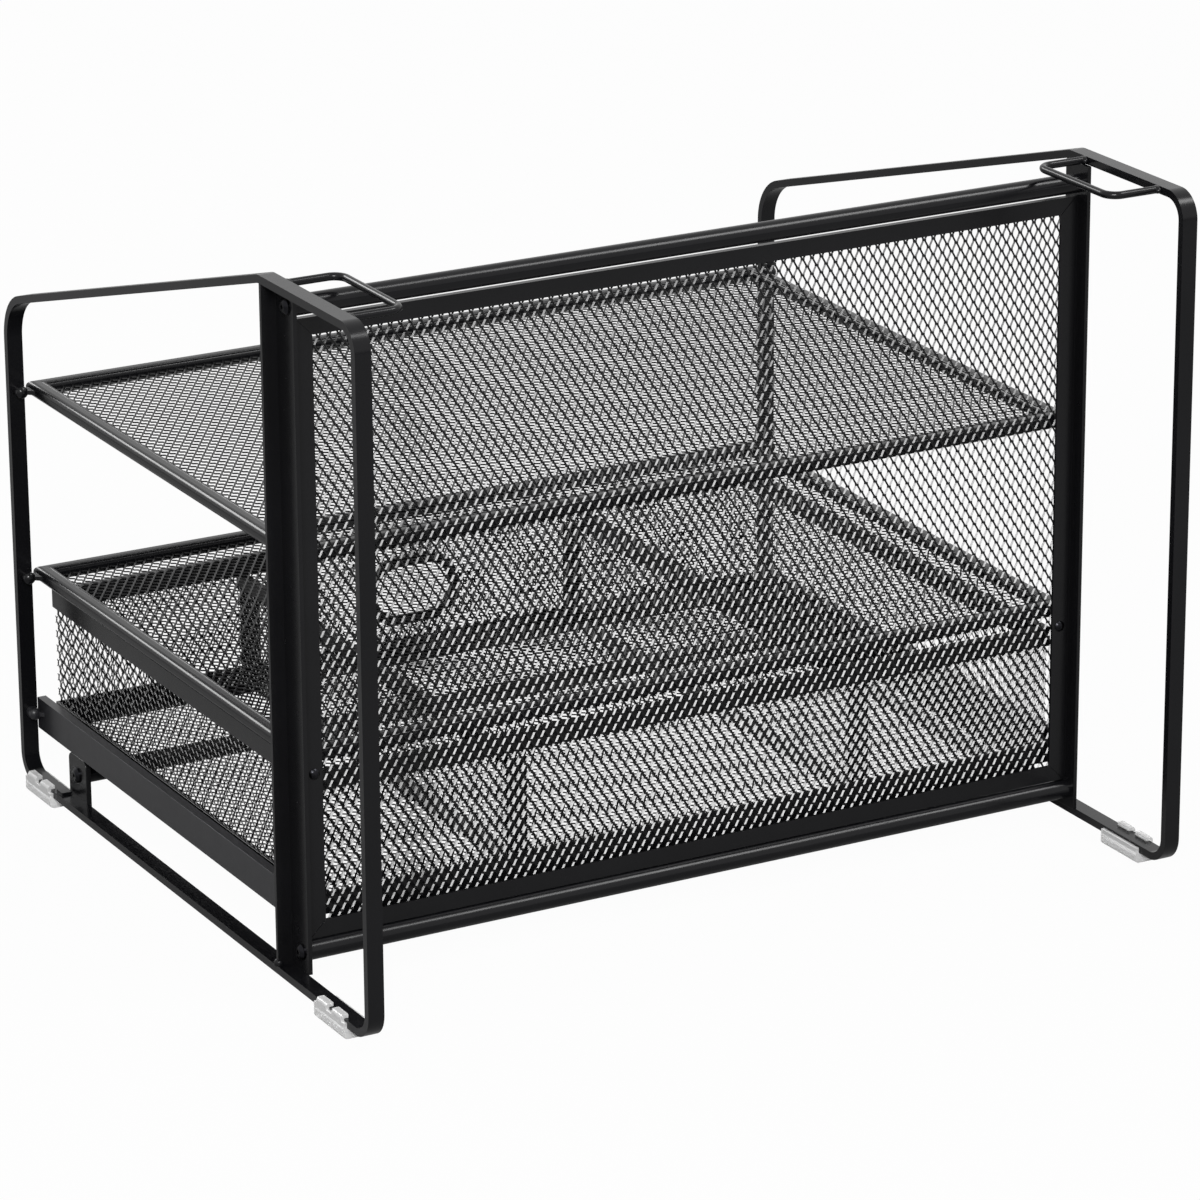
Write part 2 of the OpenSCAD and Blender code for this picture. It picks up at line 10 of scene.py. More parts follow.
import bpy
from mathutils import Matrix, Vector

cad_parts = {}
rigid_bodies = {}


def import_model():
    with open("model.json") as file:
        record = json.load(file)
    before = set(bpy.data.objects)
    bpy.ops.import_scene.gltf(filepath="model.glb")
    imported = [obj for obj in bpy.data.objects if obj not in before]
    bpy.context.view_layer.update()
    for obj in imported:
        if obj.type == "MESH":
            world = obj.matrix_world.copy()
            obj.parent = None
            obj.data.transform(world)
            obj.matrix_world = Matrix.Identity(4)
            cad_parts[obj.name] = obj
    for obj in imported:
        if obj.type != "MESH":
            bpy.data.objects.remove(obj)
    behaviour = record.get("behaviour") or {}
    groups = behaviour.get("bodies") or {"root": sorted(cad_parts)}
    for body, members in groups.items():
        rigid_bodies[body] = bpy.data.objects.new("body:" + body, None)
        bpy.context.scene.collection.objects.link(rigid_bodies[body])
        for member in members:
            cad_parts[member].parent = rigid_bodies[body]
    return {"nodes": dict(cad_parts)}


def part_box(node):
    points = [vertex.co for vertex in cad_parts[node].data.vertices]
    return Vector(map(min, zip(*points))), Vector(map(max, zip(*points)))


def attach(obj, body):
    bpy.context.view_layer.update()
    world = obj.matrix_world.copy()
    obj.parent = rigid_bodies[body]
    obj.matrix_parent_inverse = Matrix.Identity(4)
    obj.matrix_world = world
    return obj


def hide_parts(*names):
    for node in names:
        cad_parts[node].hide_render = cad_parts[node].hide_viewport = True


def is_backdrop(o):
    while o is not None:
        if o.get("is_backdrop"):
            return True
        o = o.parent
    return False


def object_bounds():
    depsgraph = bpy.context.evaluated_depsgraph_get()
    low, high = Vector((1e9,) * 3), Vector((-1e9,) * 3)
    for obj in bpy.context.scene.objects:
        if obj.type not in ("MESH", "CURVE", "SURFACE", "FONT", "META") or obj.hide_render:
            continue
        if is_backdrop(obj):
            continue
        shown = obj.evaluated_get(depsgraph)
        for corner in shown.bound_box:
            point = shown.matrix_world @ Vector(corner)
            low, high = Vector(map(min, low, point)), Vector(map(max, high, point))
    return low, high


LOG = logging.getLogger("sorter")
MM = 0.001
"""One millimetre in scene units."""

Triple = tuple[float, float, float]
"""A point, a size or a set of angles."""

Swing = tuple[float, float]
"""The changes of a value at the low and the high end of a pattern."""


class Body(Enum):
    """The rigid bodies of the sorter."""

    FRAME = "frame"
    DRAWER = "drawer"


class Facing(Enum):
    """The way a sheet of expanded metal faces, as its turn in degrees about X, Y and Z."""

    REAR = (0.0, 0.0, 0.0)
    UP = (90.0, 0.0, 0.0)
    SIDE = (0.0, 0.0, 90.0)
    OTHER_SIDE = (0.0, 0.0, -90.0)


class Side(Enum):
    """The sorter's sides, each with the sign of its X."""

    LEFT = ("left", 1)
    RIGHT = ("right", -1)

    def outer(self, low: Vector, high: Vector) -> float:
        """The X of a box's face on this side."""
        return high.x if self.value[1] > 0 else low.x


def from_hex(text: str) -> tuple[float, float, float, float]:
    """Turns an sRGB hex colour into linear light.

    Args:
        text: the colour as #rrggbb.

    Returns:
        Red, green, blue and a full alpha.
    """
    parts = [int(text[i : i + 2], 16) / 255 for i in (1, 3, 5)]
    linear = [c / 12.92 if c <= 0.04045 else ((c + 0.055) / 1.055) ** 2.4 for c in parts]
    return (linear[0], linear[1], linear[2], 1.0)


def new_material(name: str) -> tuple[bpy.types.Material, bpy.types.NodeTree]:
    """Makes a material with an empty node tree.

    Args:
        name: the material's name.

    Returns:
        The material and its tree.
    """
    made = bpy.data.materials.new(name)
    made.use_nodes = True
    made.node_tree.nodes.clear()
    return made, made.node_tree


def add_node(
    tree: bpy.types.NodeTree, kind: str, settings: dict[str, Any] | None = None, **inputs: Any
) -> bpy.types.Node:
    """Adds a shader node with its settings, values and links.

    Args:
        tree: the material's node tree.
        kind: the node's type name.
        settings: attributes of the node itself.
        **inputs: socket name, with spaces as underscores, to a value or to an output socket.

    Returns:
        The new node.
    """
    node = tree.nodes.new(kind)
    for name, value in (settings or {}).items():
        setattr(node, name, value)
    for name, value in inputs.items():
        wanted = name.replace("_", " ")
        socket = next(s for s in node.inputs if s.name == wanted and s.enabled)
        if isinstance(value, bpy.types.NodeSocket):
            tree.links.new(value, socket)
        else:
            socket.default_value = value
    return node


def add_place(tree: bpy.types.NodeTree) -> bpy.types.NodeSocket:
    """Adds the Object coordinates that every pattern lies on."""
    return add_node(tree, "ShaderNodeTexCoord").outputs["Object"]


def add_noise(
    tree: bpy.types.NodeTree, place: bpy.types.NodeSocket, size: float, **look: float
) -> bpy.types.NodeSocket:
    """Adds a noise pattern.

    Args:
        tree: the material's node tree.
        place: the Object coordinates, in metres.
        size: the width of the pattern's features, in millimetres.
        **look: the noise's detail, roughness and distortion.

    Returns:
        The pattern, from 0 to 1.
    """
    return add_node(tree, "ShaderNodeTexNoise", Vector=place, Scale=1.0 / (size * MM), **look).outputs["Fac"]


def add_roughness(
    tree: bpy.types.NodeTree, pattern: bpy.types.NodeSocket, middle: float, swing: Swing
) -> bpy.types.NodeSocket:
    """Lets a pattern vary the roughness.

    Args:
        tree: the material's node tree.
        pattern: the pattern, from 0 to 1.
        middle: the finish's roughness.
        swing: the change of it where the pattern is 0 and where it is 1.

    Returns:
        The roughness.
    """
    low, high = (middle + change for change in swing)
    return add_node(tree, "ShaderNodeMapRange", Value=pattern, To_Min=low, To_Max=high).outputs["Result"]


def add_relief(
    tree: bpy.types.NodeTree, pattern: bpy.types.NodeSocket, strength: float, relief: float
) -> bpy.types.NodeSocket:
    """Turns a pattern into relief.

    Args:
        tree: the material's node tree.
        pattern: the pattern, from 0 to 1.
        strength: how much of the relief shows.
        relief: its height in millimetres.

    Returns:
        The normal.
    """
    bump = add_node(tree, "ShaderNodeBump", Height=pattern, Strength=strength, Distance=relief * MM)
    return bump.outputs["Normal"]


def add_skin(tree: bpy.types.NodeTree, **inputs: Any) -> None:
    """Adds the surface shader and ends the tree with it.

    Args:
        tree: the material's node tree.
        **inputs: the shader's inputs, as add_node takes them.
    """
    skin = add_node(tree, "ShaderNodeBsdfPrincipled", **inputs)
    add_node(tree, "ShaderNodeOutputMaterial", Surface=skin.outputs["BSDF"])


@dataclass(frozen=True)
class PowderCoat:
    """Polyester powder, sprayed and baked on steel: a satin skin with a fine orange peel.

    The colour drifts to the second one with the film, and the roughness swings with the sheen. The widths
    of peel, film and sheen and the height of the relief are in millimetres, and depth is how much of the
    relief shows.
    """

    name: str
    colour: str
    second: str
    roughness: float
    peel: float = 1.1
    depth: float = 0.16
    gloss: float = 0.5
    film: float = 45.0
    sheen: float = 6.0
    sheen_swing: Swing = (-0.05, 0.07)
    relief: float = 0.05
    refraction: float = 1.5

    def build(self) -> bpy.types.Material:
        """Builds the material.

        Returns:
            The node material.
        """
        made, tree = new_material(self.name)
        place = add_place(tree)
        # the bake leaves slow changes of film thickness
        film = add_noise(tree, place, self.film, Detail=3.0, Roughness=0.55)
        tint = add_node(
            tree, "ShaderNodeMix", {"data_type": "RGBA"},
            Factor=film, A=from_hex(self.colour), B=from_hex(self.second),
        )
        # handling and dust vary the sheen
        sheen = add_noise(tree, place, self.sheen, Detail=4.0, Roughness=0.6)
        # orange peel of the cured powder
        peel = add_noise(tree, place, self.peel, Detail=2.0, Roughness=0.5)
        add_skin(
            tree,
            Base_Color=next(out for out in tint.outputs if out.enabled),
            Roughness=add_roughness(tree, sheen, self.roughness, self.sheen_swing),
            Normal=add_relief(tree, peel, self.depth, self.relief),
            IOR=self.refraction,
            Specular_IOR_Level=self.gloss,
        )
        return made


@dataclass(frozen=True)
class BlackOxideSteel:
    """Screw steel with a black oxide bath: dark, metallic, with fine turning marks.

    The roughness swings with the marks. Their width and the height of the relief are in millimetres, and
    depth is how much of the relief shows.
    """

    name: str = "black_oxide_steel"
    colour: str = "#242427"
    roughness: float = 0.28
    marks: float = 0.5
    marks_swing: Swing = (-0.08, 0.1)
    depth: float = 0.12
    relief: float = 0.05

    def build(self) -> bpy.types.Material:
        """Builds the material.

        Returns:
            The node material.
        """
        made, tree = new_material(self.name)
        # turning marks of the heads
        marks = add_noise(tree, add_place(tree), self.marks, Detail=3.0)
        add_skin(
            tree,
            Base_Color=from_hex(self.colour),
            Metallic=1.0,
            Roughness=add_roughness(tree, marks, self.roughness, self.marks_swing),
            Normal=add_relief(tree, marks, self.depth, self.relief),
        )
        return made


@dataclass(frozen=True)
class ClearVinyl:
    """Injection-moulded soft clear plastic: glossy, a little milky, with flow marks.

    The roughness swings with the flow. Its width and the height of the relief are in millimetres, and depth
    is how much of the relief shows.
    """

    name: str = "clear_vinyl"
    colour: str = "#ffffff"
    roughness: float = 0.08
    clear: float = 0.5
    flow: float = 3.0
    flow_swing: Swing = (0.0, 0.16)
    depth: float = 0.2
    relief: float = 0.1
    refraction: float = 1.49

    def build(self) -> bpy.types.Material:
        """Builds the material.

        Returns:
            The node material.
        """
        made, tree = new_material(self.name)
        # flow marks of the moulding
        flow = add_noise(tree, add_place(tree), self.flow, Detail=3.0, Distortion=0.4)
        add_skin(
            tree,
            Base_Color=from_hex(self.colour),
            IOR=self.refraction,
            Roughness=add_roughness(tree, flow, self.roughness, self.flow_swing),
            Normal=add_relief(tree, flow, self.depth, self.relief),
            Transmission_Weight=self.clear,
        )
        return made


class Finishes:
    """Every finish of the sorter, each built once."""

    coats = {
        "bar": PowderCoat("powder_coat_on_bar", "#08080a", "#101012", 0.2, depth=0.08, gloss=0.22),
        "sheet": PowderCoat("powder_coat_on_sheet", "#0a0a0b", "#121214", 0.24, depth=0.1, gloss=0.24),
        "mesh": PowderCoat(
            "powder_coat_on_mesh", "#060607", "#0c0c0e", 0.2, peel=0.6, depth=0.05, gloss=0.34
        ),
        "runner": PowderCoat("satin_coat_on_runner", "#1a1a1c", "#222225", 0.3, gloss=0.3),
        "screw": BlackOxideSteel(),
        "foot": ClearVinyl(),
    }

    def __init__(self) -> None:
        """Starts with no finish built."""
        self._made: dict[str, bpy.types.Material] = {}

    def get(self, key: str) -> bpy.types.Material:
        """The material for a key, built at its first use.

        Args:
            key: the finish's key in coats.

        Returns:
            The material.
        """
        if key not in self._made:
            self._made[key] = self.coats[key].build()
        return self._made[key]


@dataclass(frozen=True)
class Kit:
    """What every piece is built with: the frame's CAD nodes by name, and the finishes."""

    nodes: dict[str, bpy.types.Object]
    finishes: Finishes

    def dress(self, piece: bpy.types.Object, finish: str) -> None:
        """Gives a piece one finish all over."""
        cover(piece, self.finishes.get(finish))


def cover(piece: bpy.types.Object, material: bpy.types.Material) -> None:
    """Gives a piece one material all over."""
    piece.data.materials.clear()
    piece.data.materials.append(material)


def only(piece: bpy.types.Object) -> None:
    """Leaves edit mode, selects one object alone and makes it active.

    Args:
        piece: the object.
    """
    if bpy.context.mode != "OBJECT":
        bpy.ops.object.mode_set(mode="OBJECT")
    bpy.ops.object.select_all(action="DESELECT")
    piece.select_set(True)
    bpy.context.view_layer.objects.active = piece


def modify(piece: bpy.types.Object, kind: str, **settings: Any) -> None:
    """Adds a modifier with its settings and applies it.

    Args:
        piece: the object.
        kind: the modifier's type.
        **settings: attributes of the modifier.
    """
    only(piece)
    modifier = piece.modifiers.new(kind.lower(), kind)
    for name, value in settings.items():
        setattr(modifier, name, value)
    bpy.ops.object.modifier_apply(modifier=modifier.name)


def middle_and_size(node: str) -> tuple[Vector, Vector]:
    """The middle and the size of a node's box, in millimetres.

    Args:
        node: the node's name.

    Returns:
        Its middle and its size.
    """
    low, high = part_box(node)
    return (low + high) / 2 / MM, (high - low) / MM


@dataclass
class RoundedNode:
    """A rigid piece of bar or sheet as the CAD has it, with its edges broken as the coating breaks them.

    Lengths are in millimetres and angles in degrees. Edges that turn by more than sharp_from are rounded,
    and faces that meet at less than smooth_below are shaded as one.
    """

    node: str
    body: Body
    finish: str
    slot: str
    radius: float = 0.28
    sharp_from: float = 28.0
    smooth_below: float = 40.0
    segments: int = 2
    merge: float = 0.002
    flat_within: float = 0.3

    def build(self, kit: Kit) -> bpy.types.Object:
        """Copies the node, merges it and rounds its edges.

        Args:
            kit: the nodes and finishes.

        Returns:
            The piece, which replaces its node.
        """
        only(kit.nodes[self.node])
        bpy.ops.object.duplicate()
        piece = bpy.context.active_object
        piece.name = piece.data.name = self.node + "_skin"
        bpy.ops.object.parent_clear(type="CLEAR_KEEP_TRANSFORM")
        bpy.ops.object.mode_set(mode="EDIT")
        bpy.ops.mesh.select_all(action="SELECT")
        bpy.ops.mesh.remove_doubles(threshold=self.merge * MM)
        bpy.ops.mesh.dissolve_limited(angle_limit=math.radians(self.flat_within), delimit=set())
        bpy.ops.object.mode_set(mode="OBJECT")
        modify(
            piece, "BEVEL", width=self.radius * MM, segments=self.segments, limit_method="ANGLE",
            angle_limit=math.radians(self.sharp_from), use_clamp_overlap=True, harden_normals=False,
        )
        only(piece)
        bpy.ops.object.shade_smooth_by_angle(angle=math.radians(self.smooth_below))
        modify(piece, "WEIGHTED_NORMAL", keep_sharp=True)
        kit.dress(piece, self.finish)
        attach(piece, self.body.value)
        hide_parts(self.node)
        return piece


@dataclass
class Strand:
    """One period of a strand of expanded metal, which zigzags from bond to bond, its sizes in millimetres.

    The strand runs up along Z, one long pitch at a time, and swings to both sides along X. Its section
    leans about Z by the tilt that stretching gives it, in degrees. At a bond it meets its neighbour edge to
    edge.
    """

    short: float = 3.86
    long: float = 5.8
    width: float = 0.72
    thick: float = 0.34
    bond: float = 0.85
    tilt: float = -32.0

    def path(self) -> list[Vector]:
        """The middle of the strand over one period, in millimetres: one side, the other and back.

        Returns:
            Five points, the last one period on from the first.
        """
        lean = math.radians(self.tilt)
        swing = self.short / 4 - self.width / 2 * math.cos(lean)
        depth = self.width / 2 * math.sin(lean)
        half = self.bond / 2
        middle = self.long / 2
        flat = [(-half, -1), (half, -1), (middle - half, 1), (middle + half, 1), (self.long - half, -1)]
        return [Vector((swing * side, -depth * side, z)) for z, side in flat]

    def build(self) -> bpy.types.Object:
        """Extrudes the section along the path.

        Returns:
            The strand's tube, open at both ends, with its first section at the side of -X.
        """
        points = self.path()
        bpy.ops.object.select_all(action="DESELECT")
        bpy.ops.mesh.primitive_plane_add(size=1, enter_editmode=True)
        piece = bpy.context.active_object
        bpy.ops.mesh.select_all(action="SELECT")
        bpy.ops.transform.resize(value=(self.width * MM, self.thick * MM, 1))
        bpy.ops.transform.rotate(value=math.radians(-self.tilt), orient_axis="Z", center_override=(0, 0, 0))
        bpy.ops.transform.translate(value=tuple(points[0] * MM))
        for here, there in zip(points, points[1:]):
            step = (there - here) * MM
            bpy.ops.mesh.extrude_region_move(TRANSFORM_OT_translate={"value": tuple(step)})
        bpy.ops.mesh.select_all(action="SELECT")
        bpy.ops.mesh.normals_make_consistent(inside=False)
        bpy.ops.object.mode_set(mode="OBJECT")
        self._open_ends(piece, (points[0].z * MM, points[-1].z * MM))
        bpy.ops.object.transform_apply(location=True, rotation=True, scale=True)
        return piece

    @staticmethod
    def _open_ends(
        piece: bpy.types.Object, ends: tuple[float, float], near: float = 1e-7, facing: float = 0.9
    ) -> None:
        """Deletes the faces at both ends of the strand.

        Args:
            piece: the strand.
            ends: the height of each end, in metres.
            near: how close a face lies to its end, in metres.
            facing: the least part of a face's normal along Z.
        """
        for face in piece.data.polygons:
            heights = [piece.data.vertices[v].co.z for v in face.vertices]
            at_end = all(min(abs(height - end) for end in ends) < near for height in heights)
            face.select = at_end and abs(face.normal.z) > facing
        bpy.ops.object.mode_set(mode="EDIT")
        bpy.ops.mesh.select_mode(type="FACE")
        bpy.ops.mesh.delete(type="ONLY_FACE")
        bpy.ops.object.mode_set(mode="OBJECT")


@dataclass(frozen=True)
class RingHole:
    """The round-ended hole for the finger ring, in millimetres about the middle of its sheet.

    The cuts run through faces up to the margin past the hole, and a face goes when its middle lies inside
    the outline or within the slack of it.
    """

    half_w: float
    half_h: float
    rise: float
    cuts: int = 20
    margin: float = 5.0
    slack: float = 0.02

    def cut(self, piece: bpy.types.Object) -> None:
        """Cuts the hole's outline into the sheet, clears the inside and closes the cut strands.

        Args:
            piece: the sheet, still at the origin and facing the rear.
        """
        run = self.half_w - self.half_h
        only(piece)
        for k in range(self.cuts):
            angle = 2 * math.pi * (k + 0.5) / self.cuts
            normal = Vector((math.cos(angle), 0, math.sin(angle)))
            centre = Vector((math.copysign(run, normal.x), 0, self.rise)) * MM
            bpy.ops.object.mode_set(mode="OBJECT")
            for face in piece.data.polygons:
                at = face.center
                beside = abs(at.x) < (self.half_w + self.margin) * MM
                face.select = beside and abs(at.z - self.rise * MM) < (self.half_h + self.margin) * MM
            bpy.ops.object.mode_set(mode="EDIT")
            bpy.ops.mesh.select_mode(type="FACE")
            edge = centre + normal * self.half_h * MM
            bpy.ops.mesh.bisect(plane_co=tuple(edge), plane_no=tuple(normal), use_fill=False)
        bpy.ops.object.mode_set(mode="OBJECT")
        for face in piece.data.polygons:
            at = face.center / MM
            beyond = max(abs(at.x) - run, 0.0)
            face.select = math.hypot(beyond, at.z - self.rise) < self.half_h + self.slack
        bpy.ops.object.mode_set(mode="EDIT")
        bpy.ops.mesh.delete(type="FACE")
        bpy.ops.mesh.select_mode(type="EDGE")
        self._select_open_edges()
        bpy.ops.mesh.fill_holes(sides=12)
        # fill_holes passes over a cut that runs along a strand
        self._select_open_edges()
        if piece.data.count_selected_items()[1]:
            bpy.ops.mesh.edge_face_add()
        bpy.ops.object.mode_set(mode="OBJECT")

    @staticmethod
    def _select_open_edges() -> None:
        """Selects the edges that have only one face."""
        bpy.ops.mesh.select_all(action="DESELECT")
        bpy.ops.mesh.select_non_manifold(
            use_wire=False, use_multi_face=False, use_non_contiguous=False, use_verts=False
        )


@dataclass
class ExpandedSheet:
    """A sheet of expanded metal, slit and stretched, cut to a rectangle, its sizes in millimetres.

    It is built facing the rear, with its short pitch along X and its long pitch up, then turned and placed.
    """

    node: str
    body: Body
    width: float
    height: float
    middle: Triple
    facing: Facing
    hole: RingHole | None = None
    strand: Strand = field(default_factory=Strand)
    merge: float = 0.01
    spare_across: int = 2
    spare_up: int = 3

    def build(self, kit: Kit) -> bpy.types.Object:
        """Repeats the strand, cuts the sheet to size and turns it to its place.

        Args:
            kit: the nodes and finishes.

        Returns:
            The sheet, which replaces its node.
        """
        pitch = self.strand
        piece = pitch.build()
        piece.name = piece.data.name = self.node + "_expanded"
        # spare strands and periods go past every edge
        across = math.ceil(self.width / pitch.short) + self.spare_across
        up = math.ceil(self.height / pitch.long) + self.spare_up
        near = self.merge * MM
        self._repeat(piece, up, (0, 0, pitch.long), use_merge_vertices=True, merge_threshold=near)
        self._cap_ends(piece)
        self._repeat(piece, 2, (pitch.short / 2, 0, pitch.long / 2))
        self._repeat(piece, across, (pitch.short, 0, 0))
        self._centre(piece, across, up)
        self._cut_to_size(piece)
        if self.hole:
            self.hole.cut(piece)
        only(piece)
        piece.rotation_euler = [math.radians(a) for a in self.facing.value]
        piece.location = Vector(self.middle) * MM
        bpy.ops.object.transform_apply(location=True, rotation=True, scale=True)
        bpy.ops.object.shade_flat()
        kit.dress(piece, "mesh")
        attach(piece, self.body.value)
        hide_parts(self.node)
        return piece

    @staticmethod
    def _repeat(piece: bpy.types.Object, count: int, step: Triple, **merging: Any) -> None:
        """Repeats a mesh along a step.

        Args:
            piece: the mesh.
            count: how many there are in all.
            step: from one to the next, in millimetres.
            **merging: the array's settings for merging.
        """
        offset = tuple(part * MM for part in step)
        modify(
            piece, "ARRAY", count=count, use_relative_offset=False, use_constant_offset=True,
            constant_offset_displace=offset, **merging,
        )

    @staticmethod
    def _cap_ends(piece: bpy.types.Object) -> None:
        """Closes both open ends of a strand.

        Args:
            piece: the strand.
        """
        only(piece)
        bpy.ops.object.mode_set(mode="EDIT")
        bpy.ops.mesh.select_all(action="DESELECT")
        bpy.ops.mesh.select_mode(type="EDGE")
        bpy.ops.mesh.select_non_manifold()
        bpy.ops.mesh.fill_holes(sides=4)
        bpy.ops.mesh.select_all(action="SELECT")
        bpy.ops.mesh.normals_make_consistent(inside=False)
        bpy.ops.object.mode_set(mode="OBJECT")

    def _centre(self, piece: bpy.types.Object, across: int, up: int) -> None:
        """Brings the middle of the repeated strands to the origin, on a bond.

        Args:
            piece: the sheet.
            across: the pairs of strands across it.
            up: the periods in each strand.
        """
        only(piece)
        short, long = self.strand.short * MM, self.strand.long * MM
        piece.location = (-(across // 2) * short + short / 4, 0, -(up // 2) * long)
        bpy.ops.object.transform_apply(location=True, rotation=False, scale=False)

    def _cut_to_size(self, piece: bpy.types.Object) -> None:
        """Cuts the sheet's four edges and closes the cut strands.

        Args:
            piece: the sheet, larger than its size.
        """
        only(piece)
        half_w, half_h = self.width / 2 * MM, self.height / 2 * MM
        bpy.ops.object.mode_set(mode="EDIT")
        for x, z in ((1, 0), (-1, 0), (0, 1), (0, -1)):
            point = (x * half_w, 0, z * half_h)
            bpy.ops.mesh.select_all(action="SELECT")
            bpy.ops.mesh.bisect(plane_co=point, plane_no=(x, 0, z), use_fill=True, clear_outer=True)
        bpy.ops.object.mode_set(mode="OBJECT")


@dataclass
class Welds:
    """The small beads where the wires and the posts are welded to the loops, their sizes in millimetres.

    The offsets run inwards along X, back along Y and up, and the turns are in degrees about Z.
    """

    wire_bead: Triple = (1.7, 2.6, 1.45)
    wire_sink: float = 0.4
    wire_turn: float = 12.0
    post_bead: Triple = (1.9, 1.6, 1.9)
    post_offset: Triple = (0.8, 0.3, 0.4)
    post_turn: float = -20.0
    segments: int = 24
    rings: int = 14

    def build(self, kit: Kit) -> bpy.types.Object:
        """Lays every bead and joins them into one piece.

        Args:
            kit: the nodes and finishes.

        Returns:
            The welds, which ride on the frame.
        """
        beads = []
        for side in Side:
            name, sign = side.value
            low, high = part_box(f"{name}_wire")
            radius = (high.z - low.z) / 2
            x = side.outer(low, high) - sign * self.wire_sink * MM
            for y in (low.y + radius, high.y - radius):
                beads.append(self._bead((x, y, low.z + radius), self.wire_bead, self.wire_turn * sign))
            low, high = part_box(f"{name}_post")
            inwards, back, up = (part * MM for part in self.post_offset)
            at = (side.outer(low, high) - sign * inwards, low.y + back, low.z + up)
            beads.append(self._bead(at, self.post_bead, self.post_turn * sign))
        only(beads[0])
        for bead in beads:
            bead.select_set(True)
        bpy.ops.object.join()
        piece = bpy.context.active_object
        piece.name = piece.data.name = "weld_beads"
        bpy.ops.object.shade_smooth()
        kit.dress(piece, "bar")
        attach(piece, Body.FRAME.value)
        return piece

    def _bead(self, at: Triple, half: Triple, turn: float) -> bpy.types.Object:
        """Lays one bead, a flattened drop.

        Args:
            at: its middle, in metres.
            half: its half sizes in millimetres.
            turn: its turn about Z in degrees.

        Returns:
            The bead.
        """
        bpy.ops.object.select_all(action="DESELECT")
        bpy.ops.mesh.primitive_uv_sphere_add(
            segments=self.segments, ring_count=self.rings, radius=MM, location=at
        )
        bead = bpy.context.active_object
        bead.scale = half
        bead.rotation_euler.z = math.radians(turn)
        bpy.ops.object.transform_apply(location=False, rotation=True, scale=True)
        return bead


@dataclass
class Frame:
    """The fixed frame: loops, posts, tubes, tabs, panel, trays, runners and feet.

    The sheets of expanded metal differ from their nodes by a trim at each edge, in millimetres. The trays'
    strands lean by a tilt in degrees, the other way than the panel's.
    """

    panel_trim: float = -0.5
    tray_trim: float = 0.5
    tray_tilt: float = 32.0
    kept_nodes: dict[str, tuple[str, ...]] = field(
        default_factory=lambda: {
            "bar": ("left_wire", "right_wire", "top_tube", "rear_tube", "front_tube", "lower_tray_frame",
                    "upper_tray_frame"),
            "screw": ("panel_rivets", "front_screws", "post_screws", "tab_screws"),
        }
    )

    def build(self, kit: Kit) -> list[bpy.types.Object]:
        """Builds and dresses the whole frame.

        Args:
            kit: the nodes and finishes.

        Returns:
            Every new piece.
        """
        black = "powder_coat_black"
        parts = []
        for side in Side:
            name = side.value[0]
            parts += [
                RoundedNode(f"{name}_side_loop", Body.FRAME, "bar", black, radius=0.45),
                RoundedNode(f"{name}_post", Body.FRAME, "sheet", black, radius=0.35),
                RoundedNode(f"{name}_tab", Body.FRAME, "sheet", black, radius=0.3),
                RoundedNode(f"{name}_runner", Body.FRAME, "runner", "runner_coat_grey", radius=0.3),
            ]
            parts += [
                RoundedNode(f"{end}_{name}_foot", Body.FRAME, "foot", "foot_clear_plastic", radius=0.35)
                for end in ("front", "rear")
            ]
        parts.append(RoundedNode("panel_frame", Body.FRAME, "sheet", black, radius=0.18))
        parts += self._sheets()
        made = [part.build(kit) for part in parts]
        for finish, nodes in self.kept_nodes.items():
            for node in nodes:
                kit.dress(kit.nodes[node], finish)
        made.append(Welds().build(kit))
        return made

    def _sheets(self) -> list[ExpandedSheet]:
        """Lays out the expanded metal of the panel and of both trays.

        Returns:
            The three sheets, not built yet.
        """
        middle, size = middle_and_size("panel_mesh")
        more = 2 * self.panel_trim
        width, height = size.x + more, size.z + more
        made = [ExpandedSheet("panel_mesh", Body.FRAME, width, height, tuple(middle), Facing.REAR)]
        more = 2 * self.tray_trim
        for node in ("lower_tray_mesh", "upper_tray_mesh"):
            middle, size = middle_and_size(node)
            width, height = size.x + more, size.y + more
            strand = Strand(tilt=self.tray_tilt)
            made.append(
                ExpandedSheet(node, Body.FRAME, width, height, tuple(middle), Facing.UP, strand=strand)
            )
        return made


